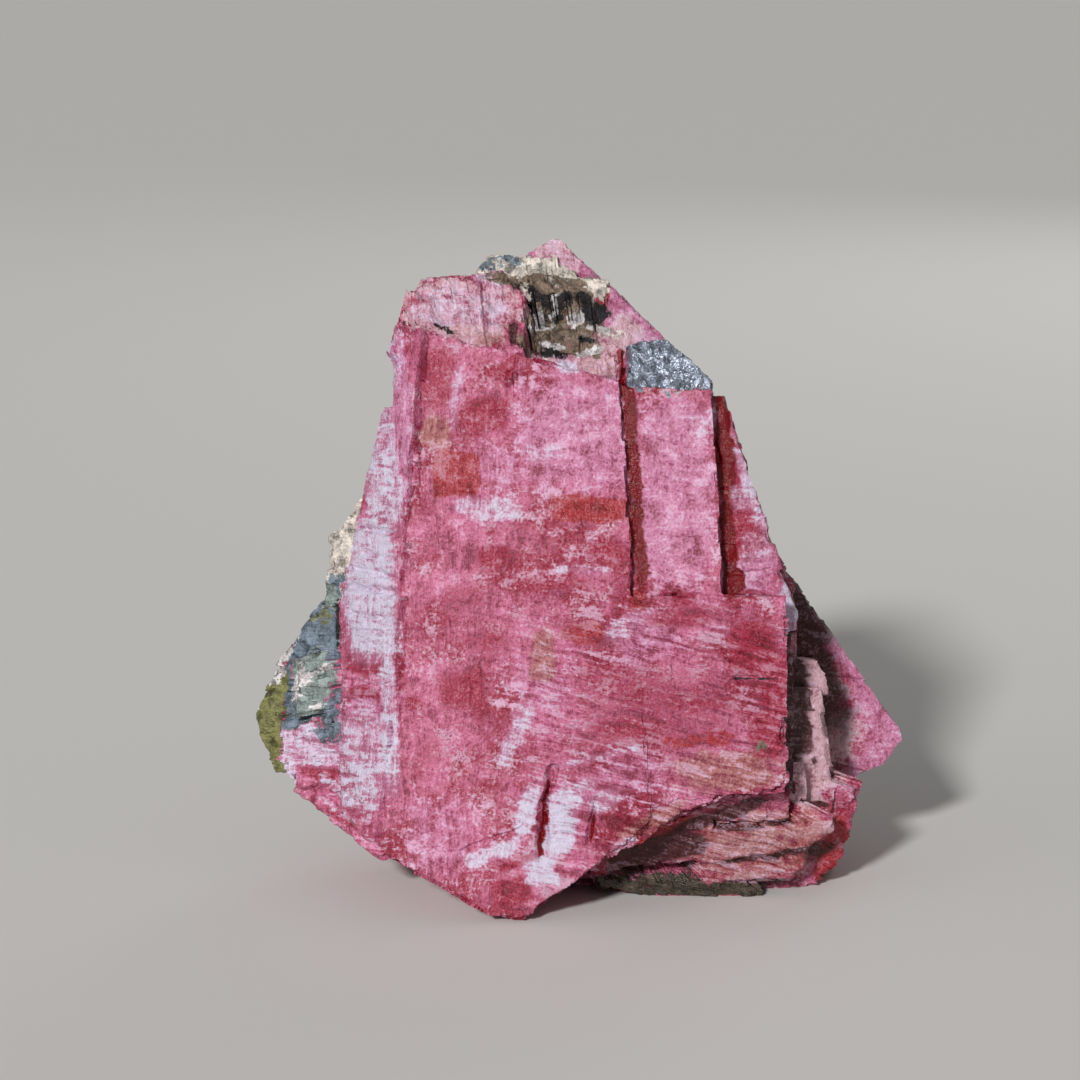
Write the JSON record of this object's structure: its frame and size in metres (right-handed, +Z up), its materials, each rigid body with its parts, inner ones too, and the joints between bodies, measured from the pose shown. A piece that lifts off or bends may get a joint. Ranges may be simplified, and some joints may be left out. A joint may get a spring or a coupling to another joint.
{
  "type": "rough rhodonite",
  "caption": "Rough lump of pink rhodonite with cleavage steps, a galena patch and grey and olive matrix, standing on its flat broken base.",
  "frame": {"origin": "middle of the stone's footprint box, on the surface it stands on", "axes": "+Z up, -Y towards the side the large cleavage face looks to, +X to the right of that face"},
  "size_m": [0.0698, 0.0464, 0.0683],
  "materials": {
    "rhodonite": "satin"
  },
  "bodies": {
    "root": {"rhodonite_stone": "rhodonite"}
  },
  "joints": []
}
